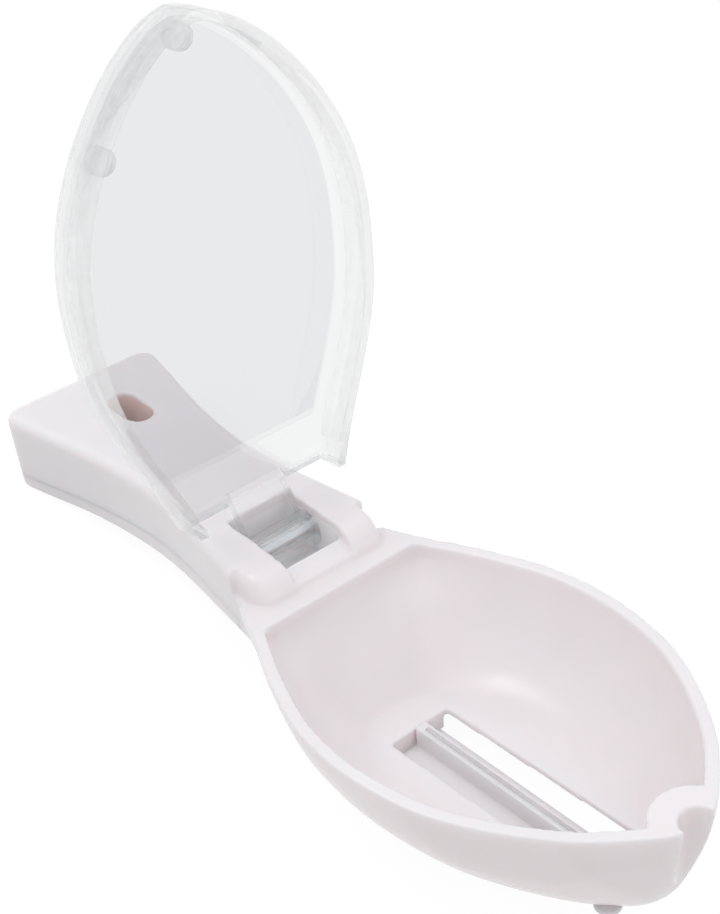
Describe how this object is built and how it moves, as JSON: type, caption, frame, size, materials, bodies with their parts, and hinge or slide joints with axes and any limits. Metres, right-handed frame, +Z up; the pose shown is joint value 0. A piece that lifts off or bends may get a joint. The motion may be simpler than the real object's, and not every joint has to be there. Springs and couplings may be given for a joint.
{
  "type": "pill splitter",
  "caption": "Hand-held pill splitter: a spoon-shaped tray with a slotted floor over a fixed blade, a flared hollow handle with a hang slot, and a clear hinged lid that swings back.",
  "frame": {"origin": "centre of the bounding box in X and Y, on the table plane that the heel and the rear feet stand on", "axes": "+X from the handle towards the bowl's nose, +Y to the left side across the tool along the hinge pin, +Z up"},
  "size_m": [0.1324, 0.0502, 0.0942],
  "materials": {
    "white_plastic": "gloss moulded, faintly pink",
    "clear_plastic": "clear, polished",
    "pin_steel": "bright drawn wire",
    "blade_steel": "ground",
    "foot_rubber": "soft, pale"
  },
  "bodies": {
    "base": {"base_shell": "white_plastic", "handle_cover": "white_plastic", "blade_carrier": "white_plastic", "blade": "blade_steel", "hinge_pin": "pin_steel", "foot_rear_left": "foot_rubber", "foot_rear_right": "foot_rubber", "foot_front_left": "foot_rubber", "foot_front_right": "foot_rubber"},
    "lid": {"lid": "clear_plastic", "lid_bumper_nose": "clear_plastic", "lid_bumper_side": "clear_plastic"}
  },
  "joints": [
    {"name": "lid_hinge", "type": "hinge", "parent": "base", "child": "lid", "pos_m": [-0.0127, 0, 0.01717], "axis": [0, 1, 0], "range_deg": [0, 94.9]}
  ]
}
